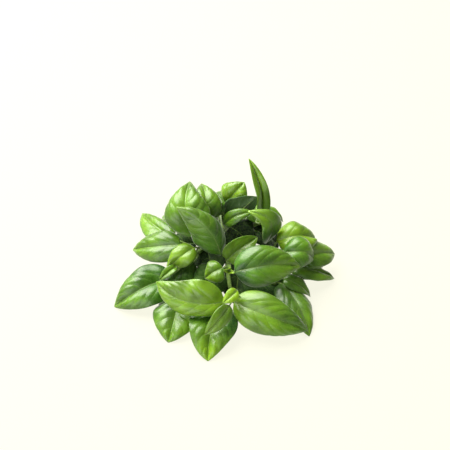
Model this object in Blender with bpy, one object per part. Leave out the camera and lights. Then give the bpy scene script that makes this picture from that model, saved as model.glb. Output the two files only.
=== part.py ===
"""A bunch of cut basil lying on a table: leafy stems gathered behind, leaves spread out in front."""

import math
from collections import namedtuple

import bmesh
import bpy
import numpy as np
from mathutils import Vector
from mathutils.bvhtree import BVHTree

# Lengths are in millimetres and angles in degrees. MM turns them into Blender's metres.
MM = 0.001

# The bunch lies on the plane z = 0, +X to the right and +Y away from whoever looks at it.
# The origin is on the table, under the middle of the bunch.
STEM_SIDE = 4.4
STEM_TIP_SHARE = 0.6
STEM_CORNER = 0.22
STEM_STEPS = 14
PETIOLE_WIDTH = 2.0
PETIOLE_SIDES = 4
PETIOLE_STEPS = 4
BLADE_THICKNESS = 1.0
LONG_LEAF = 35.0
LONG_ROWS = 8
SHORT_ROWS = 6
COLUMNS = 4
TIP_WIDTH = 0.9

# Where a leaf is widest, and how its outline closes towards the stalk and the tip.
STALK_ROUNDING = 0.42
TIP_ROUNDING = 0.80

# Leaves are bent clear of each other by this much between their middle surfaces.
CLEARANCE = 1.9
STALK_CLEARANCE = 1.1
REACH = 14.0
SETTLE_ROUNDS = 40
SMOOTHING = 2

Leaf = namedtuple("Leaf", "name at foot tip width face arch fold curl bend wave")
Stem = namedtuple("Stem", "name route leaves")


def leaf(name, at, foot, tip, width, face, arch=6.0, fold=12.0, curl=35.0, bend=0.0, wave=0.05):
    """One leaf. at is where its stalk leaves the stem, from 0 at the cut end to 1 at the growing tip.

    foot and tip are the ends of its midrib, and face is the way its upper side looks.
    arch is how far the midrib bows above the straight line, and bend how far it bows to the
    leaf's right. fold lifts the two halves into a V, and curl rolls the margins down,
    as one angle or as (left, right).
    """
    both = curl if isinstance(curl, tuple) else (curl, curl)
    return Leaf(name, at, foot, tip, width, face, arch, fold, both, bend, wave)


STEMS = [
    Stem(
        "sprig_left",
        [(-14, 88, 2.2), (-14, 68, 2.2), (-16, 46, 7), (-24, 22, 20), (-38, 8, 26)],
        [
            leaf("left_low", 0.93, (-49, -8, 22), (-102, -29, 1), 40, (-0.2, -0.5, 1), 8, 12, 35),
            leaf("left_mid", 0.93, (-41, 15, 38), (-87, 26, 18), 32, (-0.3, -0.5, 1), 6, 14, 48, -1),
            leaf("left_back", 0.70, (-50, 35, 25), (-81, 78, 12), 28, (-0.3, -0.3, 1), 4, 10, (15, 85), -2),
            leaf("left_small", 0.85, (-28, 11, 38), (-54, -3, 23), 22, (-0.4, -0.6, 1), 5, 4, 25),
            leaf("left_narrow", 1.0, (-45, -2, 26), (-60, -12, 18), 10, (-0.2, -0.6, 1), 4, 30, 10),
            leaf("left_inner", 0.80, (-29, 7, 22), (-51, -6, 9), 28, (0.1, -0.6, 1), 3, 10, 20),
            leaf("left_deep", 0.60, (-27, 30, 22), (-52, 34, 12), 32, (-0.2, -0.3, 1), 4, 10, 20),
            leaf("left_under", 0.62, (-17, 33, 14), (-11, -2, 12), 34, (0, -0.1, 1), 2, 8, 20),
        ],
    ),
    Stem(
        "sprig_front_left",
        [(-7, 86, 2.2), (-7, 66, 2.2), (-8, 40, 4), (-14, 4, 7), (-28, -16, 8), (-39, -25, 7)],
        [
            leaf("front_left_low", 0.95, (-42, -30, 8), (-51, -69, 0), 43, (-0.2, -0.5, 1), 5, 8, 25, -1),
            leaf("front_left_fold", 0.95, (-47, -25, 9), (-52, -50, 4), 27, (-0.5, -0.5, 1), 3, 4, 20),
        ],
    ),
    Stem(
        "sprig_front",
        [(0, 90, 2.2), (0, 72, 2.2), (0, 48, 2.6), (2, 16, 9), (4, -14, 17), (6, -32, 25), (8, -40, 32)],
        [
            leaf("front", 0.90, (-2, -39, 17), (-15, -89, 0), 44, (0, -0.6, 1), 4, 18, 25, 4),
            leaf("front_left_big", 0.95, (0, -45, 30), (-62, -26, 34), 45, (0, -0.9, 0.8), 8, 4, (75, 15), -9),
            leaf("right_low", 0.95, (8, -42, 25), (74, -60, 7), 39, (-0.1, -0.6, 0.9), 9, 8, (35, 50), 1),
            leaf("front_small", 1.0, (4, -53, 34), (-18, -71, 15), 17, (0.3, -0.8, 0.6), 3, 15, 20),
            leaf("centre_lime", 1.0, (11, -41, 40), (-2, -52, 36), 12, (0, -0.7, 0.8), 3, 10, 20),
        ],
    ),
    Stem(
        "sprig_front_right",
        [(7, 86, 2.2), (7, 66, 2.2), (8, 40, 4), (14, 10, 9), (28, -8, 13), (46, -12, 15)],
        [
            leaf("right_low_back", 1.0, (52, -12, 15), (76, -62, 0), 34, (0.5, -0.5, 0.7), 7, 8, 40, -1),
            leaf("right_low_far", 1.0, (54, -10, 19), (79, -18, 2), 18, (0.5, -0.2, 0.8), 5, 12, 30),
            leaf("right_inner", 0.75, (16, -11, 17), (68, -12, 4), 34, (0, -0.4, 1), 4, 10, 20),
            leaf("middle_under", 0.50, (14, 21, 4), (9, -30, 6), 36, (0, -0.2, 1), 1, 8, 20),
        ],
    ),
    Stem(
        "sprig_right",
        [(-3.5, 84, 7.6), (-3.5, 64, 7.6), (-1, 40, 12), (2, 14, 20), (4, -4, 28), (4, -14, 36)],
        [
            leaf("right_big", 0.93, (9, -18, 38), (69, -6, 32), 40, (0, -0.75, 0.8), 8, 8, 45, -4),
            leaf("centre_small", 0.93, (-2, -13, 38), (-18, -18, 29), 23, (-0.3, -0.6, 1), 4, 10, 35),
            leaf("centre_cup", 0.85, (2, 3, 30), (30, 17, 46), 25, (0, -0.8, 0.6), 3, 10, -30, -2),
            leaf("left_of_centre_deep", 0.80, (-4, -2, 20), (-27, -20, 9), 34, (0, -0.4, 1), 4, 10, 20),
        ],
    ),
    Stem(
        "sprig_far_right",
        [(14, 88, 2.2), (14, 68, 2.2), (18, 44, 6), (30, 24, 14), (46, 12, 24), (62, 11, 28)],
        [
            leaf("right_upper", 0.85, (53, 5, 38), (80, 9, 22), 32, (0.1, -0.5, 1), 13, 8, 40, -2),
            leaf("right_top", 0.85, (48, 21, 36), (86, 31, 24), 35, (0, -0.3, 1), 12, 8, 40),
            leaf("right_drape", 1.0, (71, 17, 34), (90, 11, 7), 26, (0.8, -0.7, 0.6), 6, 10, 30),
            leaf("far_right", 1.0, (73, 11, 26), (104, 26, 12), 26, (0, -0.5, 1), 5, 15, (45, 25)),
            leaf("far_right_low", 0.93, (61, 6, 15), (103, 5, 0), 26, (0, -0.1, 1), 8, 12, 40),
        ],
    ),
    Stem(
        "sprig_back_left",
        [(-10.5, 86, 7.6), (-10.5, 66, 7.6), (-11, 44, 14), (-11, 24, 26), (-12, 14, 40)],
        [
            leaf("upper_left_front", 0.90, (-4, 7, 32), (-44, 27, 76), 46, (-0.2, -0.8, 0.6), 8, -22, (10, 105), 10),
            leaf("upper_left_back", 0.90, (-28, 24, 38), (-33, 66, 69), 45, (-0.2, -0.6, 1), 18, 8, 40, -3),
            leaf("upper_left_far", 0.85, (-22, 37, 42), (-22, 70, 62), 31, (0.1, -0.5, 1), 14, 8, 35, 3),
            leaf("back_left_low", 0.55, (-39, 69, 16), (-61, 80, 3), 30, (-0.4, 0.5, 1), 5, 10, 30),
            leaf("back_left_mid", 0.80, (-16, 34, 36), (-40, 74, 44), 36, (-0.3, 0.7, 0.7), 6, 10, 30),
            leaf("back_left_rear", 0.45, (-17, 60, 18), (-30, 89, 1), 32, (0, 0.5, 1), 6, 10, 30),
        ],
    ),
    Stem(
        "sprig_back",
        [(3.5, 84, 7.6), (3.5, 66, 7.6), (2, 54, 18), (-1, 46, 36), (-2, 46, 48)],
        [
            leaf("upper_left_side", 1.0, (-4, 46, 45), (-17, 51, 60), 20, (0, -0.9, 0.4), 3, 10, 20),
            leaf("top_bright", 1.0, (1, 54, 52), (18, 63, 71), 32, (0, -0.6, 0.8), 4, 12, (70, 10)),
            leaf("top_dark", 0.92, (-1, 44, 44), (31, 49, 66), 28, (0.1, 1, 0), 5, 10, 20, -2),
            leaf("arch_strip", 0.92, (-1, 38, 39), (26, 41, 54), 14, (0, -0.6, 0.8), 4, 20, 30, -3),
            leaf("under_arch_left", 0.50, (5, 50, 23), (24, 32, 17), 36, (0, -0.2, 1), 5, 10, 20),
            leaf("back_centre", 0.85, (2, 54, 44), (3, 88, 30), 32, (0, 0.6, 0.8), 7, 10, 30),
        ],
    ),
    Stem(
        "sprig_back_right",
        [(10.5, 86, 7.6), (10.5, 68, 7.6), (19, 58, 14), (32, 52, 26), (37, 42, 38)],
        [
            leaf("arch_over", 0.97, (38, 21, 33), (21, 31, 66), 22, (0.35, -0.7, 0.7), 10, 8, 25, 11),
            leaf("spike", 0.95, (35, 49, 42), (22, 73, 92), 17, (0.3, -1, 0.2), 5, 40, 15, 3),
            leaf("under_arch_right", 0.60, (29, 46, 22), (48, 44, 6), 26, (0.2, -0.1, 1), 4, 10, 20),
            leaf("under_arch_low", 0.50, (30, 64, 14), (51, 40, 4), 32, (0, -0.2, 1), 3, 10, 20),
            leaf("back_right_low", 0.5, (37, 81, 16), (57, 74, 4), 13, (0.5, 0.2, 1), 4, 20, 30),
            leaf("back_right_mid", 0.85, (29, 49, 30), (25, 84, 22), 26, (0.3, 0.5, 0.8), 6, 10, 30),
            leaf("back_right_rear", 0.4, (17, 64, 16), (27, 89, 1), 28, (0.2, 0.5, 1), 6, 10, 30),
        ],
    ),
]


def unit(v):
    return v / np.linalg.norm(v)


def outline(u):
    """Half of the leaf's width at u, as a share of its greatest half width."""
    widest = STALK_ROUNDING / (STALK_ROUNDING + TIP_ROUNDING)
    most = widest**STALK_ROUNDING * (1 - widest) ** TIP_ROUNDING
    return u**STALK_ROUNDING * (1 - u) ** TIP_ROUNDING / most


def leaf_frame(lf):
    """The midrib's direction, the side that is the leaf's right, and the way it faces."""
    foot, tip = np.array(lf.foot, float), np.array(lf.tip, float)
    along = unit(tip - foot)
    face = np.array(lf.face, float)
    normal = unit(face - (face @ along) * along)
    return foot, tip - foot, np.cross(along, normal), normal


def midrib(lf, u):
    foot, chord, side, normal = leaf_frame(lf)
    return foot + chord * u + (normal * lf.arch + side * lf.bend) * 4 * u * (1 - u)


def rows_of(lf):
    long = math.dist(lf.foot, lf.tip) > LONG_LEAF
    return LONG_ROWS if long else SHORT_ROWS


def blade_point(lf, u, v):
    """A point of the leaf's middle surface: u runs from stalk to tip, v from -1 to 1 across."""
    _, chord, side, normal = leaf_frame(lf)
    rib = midrib(lf, u)
    ahead = unit(chord + (normal * lf.arch + side * lf.bend) * 4 * (1 - 2 * u))
    side = unit(side - (side @ ahead) * ahead)
    up = np.cross(side, ahead)
    least = (PETIOLE_WIDTH * (1 - u) + TIP_WIDTH * u) / 2
    half = max(lf.width / 2 * outline(u), least)
    turn = math.radians(lf.curl[1] if v > 0 else lf.curl[0]) or 1e-6
    reach = abs(v)
    out = half * math.sin(turn * reach) / turn
    drop = half * (1 - math.cos(turn * reach)) / turn
    lift = math.radians(lf.fold)
    wave = lf.wave * half * reach * reach * math.sin(2 * math.pi * (2.3 * u + 0.17 * len(lf.name)) + v)
    sideways = math.copysign(out * math.cos(lift) + drop * math.sin(lift), v) if v else 0.0
    upwards = out * math.sin(lift) - drop * math.cos(lift) + wave
    return rib + side * sideways + up * upwards


def blade_grid(lf):
    rows, columns = rows_of(lf), COLUMNS
    us = [i / rows for i in range(rows + 1)]
    vs = [2 * j / columns - 1 for j in range(columns + 1)]
    return np.array([[blade_point(lf, u, v) for v in vs] for u in us])


def grid_triangles(rows, columns):
    """The grid's cells split in two, the same way on both faces of a blade."""
    found = []
    for i in range(rows):
        for j in range(columns):
            a = i * (columns + 1) + j
            b, c, d = a + 1, a + columns + 1, a + columns + 2
            found += [(a, b, d), (a, d, c)]
    return found


def smoothed(move):
    """The grid's displacements evened out, with the stalk end held still."""
    for _ in range(SMOOTHING):
        wide = np.pad(move, ((1, 1), (1, 1), (0, 0)), mode="edge")
        around = wide[:-2, 1:-1] + wide[2:, 1:-1] + wide[1:-1, :-2] + wide[1:-1, 2:]
        move = 0.4 * move + 0.15 * around
    move[0] = 0
    move[1] *= 0.4
    move[2] *= 0.8
    return move


def tree_of(grid, triangles):
    return BVHTree.FromPolygons([Vector(p) for p in grid.reshape(-1, 3)], triangles, epsilon=0.0)


def near_points(points, tree, reach):
    """(index, signed height, normal, face) of the points that lie over or under the blade."""
    found = []
    for k, p in enumerate(points):
        at, normal, face, distance = tree.find_nearest(Vector(p), reach)
        if at is None:
            continue
        height = (Vector(p) - at).dot(normal)
        if distance < 1e-6 or abs(height) > 0.75 * distance:
            found.append((k, height, np.array(normal), face))
    return found


def chains_of(stem):
    """(points, radius) of the stem and of each stalk, which other sprigs' blades must clear."""
    chains = [([along_route(stem.route, k / 30) for k in range(31)], STEM_SIDE * 0.6)]
    for lf in stem.leaves:
        chains.append((petiole_route(lf, stem, 8), PETIOLE_WIDTH / 2))
    return chains


def settle(stems):
    """How far each grid point moves so that nothing passes through a blade: leaves rest on each other."""
    leaves = [lf for stem in stems for lf in stem.leaves]
    sprig = {lf.name: stem.name for stem in stems for lf in stem.leaves}
    chains = [(stem.name, k, *chain) for stem in stems for k, chain in enumerate(chains_of(stem))]
    start = {lf.name: blade_grid(lf) for lf in leaves}
    move = {name: np.zeros_like(grid) for name, grid in start.items()}
    names = [lf.name for lf in leaves]
    triangles = {lf.name: grid_triangles(rows_of(lf), COLUMNS) for lf in leaves}
    sides = {}
    for turn in range(SETTLE_ROUNDS):
        grids = {n: start[n] + move[n] for n in names}
        trees = {n: tree_of(grids[n], triangles[n]) for n in names}
        low = {n: grids[n].reshape(-1, 3).min(0) - CLEARANCE for n in names}
        high = {n: grids[n].reshape(-1, 3).max(0) + CLEARANCE for n in names}
        push = {n: np.zeros_like(start[n]) for n in names}
        worst = 0.0
        for i, first in enumerate(names):
            for second in names[i + 1 :]:
                if (low[first] > high[second]).any() or (low[second] > high[first]).any():
                    continue
                for a, b in ((first, second), (second, first)):
                    near = near_points(grids[a].reshape(-1, 3), trees[b], REACH)
                    if not near:
                        continue
                    if (a, b) not in sides:
                        sides[a, b] = sum(h for _, h, _, _ in near)
                    if abs(sides[a, b]) < abs(sides.get((b, a), 0.0)):
                        continue
                    sign = 1 if sides[a, b] > 0 else -1
                    for k, height, normal, face in near:
                        short = CLEARANCE - sign * height
                        if short <= 0:
                            continue
                        worst = max(worst, short)
                        step = sign * normal * min(short, 5.0) * 0.5
                        push[a].reshape(-1, 3)[k] += step
                        for corner in triangles[b][face]:
                            push[b].reshape(-1, 3)[corner] -= step / 3
        for owner, k, points, radius in chains:
            room = radius + STALK_CLEARANCE
            for n in names:
                if sprig[n] == owner:
                    continue
                inside = [p for p in points if (p > low[n] - room).all() and (p < high[n] + room).all()]
                near = near_points(inside, trees[n], room + 4.0)
                if not near:
                    continue
                if (owner, k, n) not in sides:
                    sides[owner, k, n] = sum(h for _, h, _, _ in near)
                sign = 1 if sides[owner, k, n] > 0 else -1
                for _, height, normal, face in near:
                    short = room - sign * height
                    if short > 0:
                        for corner in triangles[n][face]:
                            push[n].reshape(-1, 3)[corner] -= sign * normal * min(short, 4.0) * 0.4
        for n in names:
            move[n] = move[n] + smoothed(push[n])
            ground = BLADE_THICKNESS * 0.55
            under = np.minimum(start[n][..., 2] + move[n][..., 2] - ground, 0)
            move[n][..., 2] -= under
        if worst < 0.2:
            break
    print("settled in", turn + 1, "rounds, worst", round(worst, 2))
    return move


def spline(route, steps):
    """Points along a smooth curve through the route, evenly spaced by parameter."""
    knots = [np.array(p, float) for p in route]
    knots = [2 * knots[0] - knots[1], *knots, 2 * knots[-1] - knots[-2]]
    found = []
    spans = len(route) - 1
    for s in range(steps + 1):
        x = s / steps * spans
        k = min(int(x), spans - 1)
        t = x - k
        a, b, c, d = knots[k : k + 4]
        found.append(
            0.5 * (2 * b + (c - a) * t + (2 * a - 5 * b + 4 * c - d) * t**2 + (3 * b - a - 3 * c + d) * t**3)
        )
    return found


def along_route(route, share):
    """The point at this share of the route's length."""
    points = spline(route, 80)
    lengths = [0.0]
    for a, b in zip(points, points[1:]):
        lengths.append(lengths[-1] + np.linalg.norm(b - a))
    return np.array([np.interp(share * lengths[-1], lengths, [p[k] for p in points]) for k in range(3)])


def tube(name, points, outlines):
    """A closed tube through the points, with one flat outline for each, kept from twisting."""
    bm = bmesh.new()
    up = np.array((0, 0, 1.0))
    rings = []
    for i, p in enumerate(points):
        ahead = unit(points[min(i + 1, len(points) - 1)] - points[max(i - 1, 0)])
        up = up - (up @ ahead) * ahead
        if np.linalg.norm(up) < 1e-3:
            up = np.array((1.0, 0, 0)) - ahead[0] * ahead
        up = unit(up)
        side = np.cross(ahead, up)
        rings.append([bm.verts.new(Vector((p + side * x + up * y) * MM)) for x, y in outlines[i]])
    count = len(rings[0])
    for first, second in zip(rings, rings[1:]):
        for k in range(count):
            bm.faces.new((first[k], first[(k + 1) % count], second[(k + 1) % count], second[k]))
    bm.faces.new(rings[0])
    bm.faces.new(rings[-1])
    bmesh.ops.recalc_face_normals(bm, faces=bm.faces)
    return mesh_object(name, bm)


def mesh_object(name, bm):
    mesh = bpy.data.meshes.new(name)
    bm.to_mesh(mesh)
    bm.free()
    return bpy.data.objects.new(name, mesh)


def square_outline(side):
    """A square with its corners cut off, flat side down: the stem of every plant of the mint family."""
    h, c = side / 2, side * STEM_CORNER
    return [(h, -h + c), (h, h - c), (h - c, h), (-h + c, h), (-h, h - c), (-h, -h + c), (-h + c, -h), (h - c, -h)]


def round_outline(width, sides):
    turns = [2 * math.pi * k / sides for k in range(sides)]
    return [(width / 2 * math.cos(t), width / 2 * math.sin(t)) for t in turns]


def stem_body(stem):
    steps = max(STEM_STEPS, 2 * len(stem.route))
    points = [np.maximum(p, (-1e9, -1e9, STEM_SIDE / 2)) for p in spline(stem.route, steps)]
    sides = []
    for i in range(steps + 1):
        taper = max(0.0, (i / steps - 0.35) / 0.65)
        sides.append(STEM_SIDE * (1 - (1 - STEM_TIP_SHARE) * taper))
    return tube(stem.name, points, [square_outline(s) for s in sides])


def petiole_route(lf, stem, steps):
    """The leaf stalk's path, from inside the stem to a little way into the blade."""
    start = along_route(stem.route, min(lf.at, 0.99))
    end = midrib(lf, 0.07)
    foot = np.array(lf.foot, float)
    before = foot - unit(end - foot) * 0.4 * np.linalg.norm(foot - start)
    ts = [i / steps for i in range(steps + 1)]
    return [(1 - t) ** 2 * start + 2 * t * (1 - t) * before + t * t * end for t in ts]


def petiole(lf, stem):
    points = petiole_route(lf, stem, PETIOLE_STEPS)
    return tube(lf.name + "_stalk", points, [round_outline(PETIOLE_WIDTH, PETIOLE_SIDES)] * len(points))


def blade(lf, move):
    """The leaf blade as a thin closed solid round its settled middle surface."""
    middle = blade_grid(lf) + move
    rows, columns = rows_of(lf), COLUMNS
    down = np.gradient(middle, axis=0)
    across = np.gradient(middle, axis=1)
    normals = np.cross(across, down)
    normals /= np.linalg.norm(normals, axis=2, keepdims=True)
    bm = bmesh.new()
    faces = []
    for sign in (1, -1):
        skin = middle + sign * normals * BLADE_THICKNESS / 2
        faces.append([bm.verts.new(Vector(p * MM)) for p in skin.reshape(-1, 3)])
    for a, b, c in grid_triangles(rows, columns):
        bm.faces.new((faces[0][a], faces[0][b], faces[0][c]))
        bm.faces.new((faces[1][c], faces[1][b], faces[1][a]))
    width = columns + 1
    rim = [j for j in range(columns)]
    rim += [i * width + columns for i in range(rows)]
    rim += [rows * width + columns - j for j in range(columns)]
    rim += [(rows - i) * width for i in range(rows)]
    for a, b in zip(rim, rim[1:] + rim[:1]):
        bm.faces.new((faces[0][a], faces[1][a], faces[1][b]))
        bm.faces.new((faces[0][a], faces[1][b], faces[0][b]))
    bmesh.ops.recalc_face_normals(bm, faces=bm.faces)
    return mesh_object(lf.name, bm)


def leaf_green():
    material = bpy.data.materials.new("basil_leaf")
    material.use_nodes = True
    shader = material.node_tree.nodes["Principled BSDF"]
    shader.inputs["Base Color"].default_value = (0.13, 0.32, 0.035, 1)
    shader.inputs["Roughness"].default_value = 0.35
    shader.inputs["Metallic"].default_value = 0.0
    return material


def fused(stem, moves, material):
    """The stem with its stalks and blades, joined into one solid."""
    body = stem_body(stem)
    bpy.context.scene.collection.objects.link(body)
    pieces = bpy.data.collections.new(stem.name + "_leaves")
    bpy.context.scene.collection.children.link(pieces)
    for lf in stem.leaves:
        pieces.objects.link(blade(lf, moves[lf.name]))
        pieces.objects.link(petiole(lf, stem))
    union = body.modifiers.new("leaves", "BOOLEAN")
    union.operation = "UNION"
    union.operand_type = "COLLECTION"
    union.collection = pieces
    union.solver = "MANIFOLD"
    graph = bpy.context.evaluated_depsgraph_get()
    joined = bpy.data.meshes.new_from_object(body.evaluated_get(graph))
    body.modifiers.clear()
    body.data = joined
    for piece in list(pieces.objects):
        bpy.data.objects.remove(piece)
    bpy.data.collections.remove(pieces)
    body.data.materials.clear()
    body.data.materials.append(material)
    return body


def main():
    for old in list(bpy.data.objects):
        bpy.data.objects.remove(old)
    moves = settle(STEMS)
    green = leaf_green()
    for stem in STEMS:
        fused(stem, moves, green)


main()
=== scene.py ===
# %% [markdown]
# # A bunch of cut basil, finished for looking at
#
# The imported model gives the frame: nine leafy stems, each one faceted solid, in metres with +Z up.
# They have the right places and sizes, but a faceted solid can't show what makes basil look like
# basil. So this lesson grows every leaf again, from the same measurements, as a fine thin blade with
# its veins, puffed tissue and gloss, and stands it where the solid is.

# %% Load the frame
import math
from collections import namedtuple

import bpy
import numpy as np
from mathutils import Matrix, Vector
from mathutils.bvhtree import BVHTree


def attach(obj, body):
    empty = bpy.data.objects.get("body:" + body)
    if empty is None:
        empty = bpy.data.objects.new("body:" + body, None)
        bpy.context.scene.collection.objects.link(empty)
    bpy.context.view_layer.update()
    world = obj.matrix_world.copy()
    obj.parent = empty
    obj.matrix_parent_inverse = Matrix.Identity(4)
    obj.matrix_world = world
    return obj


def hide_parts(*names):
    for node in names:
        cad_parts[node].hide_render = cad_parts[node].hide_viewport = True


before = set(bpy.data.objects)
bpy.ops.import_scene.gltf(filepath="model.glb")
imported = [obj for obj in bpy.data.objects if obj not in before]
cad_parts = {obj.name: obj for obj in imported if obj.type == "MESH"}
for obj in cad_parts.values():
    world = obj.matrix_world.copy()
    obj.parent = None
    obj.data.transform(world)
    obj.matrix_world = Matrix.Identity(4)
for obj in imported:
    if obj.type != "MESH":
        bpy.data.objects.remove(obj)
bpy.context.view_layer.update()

# %% [markdown]
# ## Units and colours
#
# Leaves are measured in millimetres and Blender works in metres, so one factor stands between them.
# Colours are given as sRGB hex values, the kind a paint program shows. Blender's shaders
# count light, so the values are turned to linear by one function before they are used.

# %% Millimetres and colours
MM = 0.001


def linear(hex_colour):
    """The RGBA of an sRGB hex value, as the linear light that shaders take."""
    parts = [int(hex_colour[k : k + 2], 16) / 255 for k in (1, 3, 5)]
    return tuple(c / 12.92 if c <= 0.04045 else ((c + 0.055) / 1.055) ** 2.4 for c in parts) + (1.0,)


print("a mid basil green in linear light:", [round(c, 3) for c in linear("#6A9A2E")])

# %% [markdown]
# ## The camera
#
# The bunch lies on a table and is looked down on from about 48 degrees, from the side of its leaves.
# The photograph shows little perspective, so a long 85 mm lens stands a metre away. The camera is
# made first, because the light is then judged through it.

# %% Camera
LOOKING_DOWN = math.radians(48)
lens = bpy.data.cameras.new("camera")
lens.lens = 85
camera = bpy.data.objects.new("camera", lens)
camera.location = (0, -0.62856, 0.77967)
camera.rotation_euler = (math.radians(90) - LOOKING_DOWN, 0, 0)
bpy.context.scene.collection.objects.link(camera)
bpy.context.scene.camera = camera
print("camera", round(camera.location.length, 2), "m from the bunch")

# %% [markdown]
# ## Table and light
#
# The leaves lie on a light table, as product photographers use: a cream-white panel that shines by
# itself and reflects little, so shadows on it stay faint while the hollows of the bunch stay dark. A
# wide soft light behind and to the left gives the broad pale gloss on whatever faces up. A second one,
# low in front, does the same for the leaves that face the camera. The plain display transform
# keeps the panel as white and the greens as strong as they are.

# %% Table
TABLE_SIDE = 20.0
half_side = TABLE_SIDE / 2
table_mesh = bpy.data.meshes.new("table_top")
corners = [(x * half_side, y * half_side, 0) for x, y in ((-1, -1), (1, -1), (1, 1), (-1, 1))]
table_mesh.from_pydata(corners, [], [(0, 1, 2, 3)])
table = bpy.data.objects.new("table_top", table_mesh)
table.location.z = -0.2 * MM
bpy.context.scene.collection.objects.link(table)
print("table", TABLE_SIDE, "m square, just under the bunch")

# %% Glowing panel for the table
PANEL_GLOW = 0.88
panel = bpy.data.materials.new("glowing_opal_panel")
panel.use_nodes = True
panel_shader = panel.node_tree.nodes["Principled BSDF"]
panel_shader.inputs["Base Color"].default_value = linear("#504F4B")
panel_shader.inputs["Roughness"].default_value = 0.75
panel_shader.inputs["Specular IOR Level"].default_value = 0.1
panel_shader.inputs["Emission Color"].default_value = linear("#FFFEEC")
panel_shader.inputs["Emission Strength"].default_value = PANEL_GLOW
table_mesh.materials.append(panel)
print("table of", panel.name, "with a glow of", PANEL_GLOW)


# %% Soft lights
def soft_light(name, place, aim, side, power, colour):
    """A square light at place that points at aim, with its side in metres and power in watts."""
    lamp = bpy.data.lights.new(name, "AREA")
    lamp.size = side
    lamp.energy = power
    lamp.color = linear(colour)[:3]
    stand = bpy.data.objects.new(name, lamp)
    stand.location = place
    stand.rotation_euler = (Vector(aim) - Vector(place)).to_track_quat("-Z", "Y").to_euler()
    bpy.context.scene.collection.objects.link(stand)
    print(name, "of", power, "W,", side, "m wide")


soft_light("key_light", (-0.50, 0.55, 0.95), (0, 0, 0.03), 1.20, 53.0, "#FFFDF6")
soft_light("front_fill", (-0.60, -0.95, 0.36), (0, 0, 0.03), 1.00, 10.0, "#FDFEFF")

# %% Even light all round
EVEN_LIGHT = 0.20
sky = bpy.data.worlds.new("even_light")
sky.use_nodes = True
sky.node_tree.nodes["Background"].inputs["Color"].default_value = linear("#FFFEF6")
sky.node_tree.nodes["Background"].inputs["Strength"].default_value = EVEN_LIGHT
bpy.context.scene.world = sky
bpy.context.scene.view_settings.view_transform = "Standard"
print("even light of", EVEN_LIGHT)

# %% [markdown]
# ## The leaves, one line each
#
# Every leaf was measured once: where its stalk leaves the stem, both ends of its midrib, how wide it
# is, which way its upper side looks, and how it arches, folds and rolls. These are the same values
# as the solids', so the fine leaves land on the coarse ones.

# %% What one leaf and one stem are
Leaf = namedtuple("Leaf", "name at foot tip width face arch fold curl bend wave")
Stem = namedtuple("Stem", "name route leaves")


def leaf(name, at, foot, tip, width, face, arch=6.0, fold=12.0, curl=35.0, bend=0.0, wave=0.05):
    """One leaf. at is where its stalk leaves the stem, from 0 at the cut end to 1 at the growing tip.

    foot and tip end the midrib, and face is the way the upper side looks. arch is how far the midrib
    bows up and bend how far it bows to the leaf's right. fold lifts the two halves into a V, and
    curl rolls the margins down, as one angle or as (left, right).
    """
    both = curl if isinstance(curl, tuple) else (curl, curl)
    return Leaf(name, at, foot, tip, width, face, arch, fold, both, bend, wave)


print("a leaf has", len(Leaf._fields), "measures")

# %% Stems that lie to the left and in front
LEFT_STEMS = [
    Stem(
        "sprig_left",
        [(-14, 88, 2.2), (-14, 68, 2.2), (-16, 46, 7), (-24, 22, 20), (-38, 8, 26)],
        [
            leaf("left_low", 0.93, (-49, -8, 22), (-102, -29, 1), 40, (-0.2, -0.5, 1), 8, 12, 35),
            leaf("left_mid", 0.93, (-41, 15, 38), (-87, 26, 18), 32, (-0.3, -0.5, 1), 6, 14, 48, -1),
            leaf("left_back", 0.70, (-50, 35, 25), (-81, 78, 12), 28, (-0.3, -0.3, 1), 4, 10, (15, 85), -2),
            leaf("left_small", 0.85, (-28, 11, 38), (-54, -3, 23), 22, (-0.4, -0.6, 1), 5, 4, 25),
            leaf("left_narrow", 1.0, (-45, -2, 26), (-60, -12, 18), 10, (-0.2, -0.6, 1), 4, 30, 10),
            leaf("left_inner", 0.80, (-29, 7, 22), (-51, -6, 9), 28, (0.1, -0.6, 1), 3, 10, 20),
            leaf("left_deep", 0.60, (-27, 30, 22), (-52, 34, 12), 32, (-0.2, -0.3, 1), 4, 10, 20),
            leaf("left_under", 0.62, (-17, 33, 14), (-11, -2, 12), 34, (0, -0.1, 1), 2, 8, 20),
        ],
    ),
    Stem(
        "sprig_front_left",
        [(-7, 86, 2.2), (-7, 66, 2.2), (-8, 40, 4), (-14, 4, 7), (-28, -16, 8), (-39, -25, 7)],
        [
            leaf("front_left_low", 0.95, (-42, -30, 8), (-51, -69, 0), 43, (-0.2, -0.5, 1), 5, 8, 25, -1),
            leaf("front_left_fold", 0.95, (-47, -25, 9), (-52, -50, 4), 27, (-0.5, -0.5, 1), 3, 4, 20),
        ],
    ),
    Stem(
        "sprig_front",
        [(0, 90, 2.2), (0, 72, 2.2), (0, 48, 2.6), (2, 16, 9), (4, -14, 17), (6, -32, 25), (8, -40, 32)],
        [
            leaf("front", 0.90, (-2, -39, 17), (-15, -89, 0), 44, (0, -0.6, 1), 4, 18, 25, 4),
            leaf(
                "front_left_big", 0.95, (0, -45, 30), (-62, -26, 34), 45,
                (0, -0.9, 0.8), 8, 4, (75, 15), -9,
            ),
            leaf("right_low", 0.95, (8, -42, 25), (74, -60, 7), 39, (-0.1, -0.6, 0.9), 9, 8, (35, 50), 1),
            leaf("front_small", 1.0, (4, -53, 34), (-18, -71, 15), 17, (0.3, -0.8, 0.6), 3, 15, 20),
            leaf("centre_lime", 1.0, (11, -41, 40), (-2, -52, 36), 12, (0, -0.7, 0.8), 3, 10, 20),
        ],
    ),
]
print(len(LEFT_STEMS), "stems with", sum(len(stem.leaves) for stem in LEFT_STEMS), "leaves")

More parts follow.
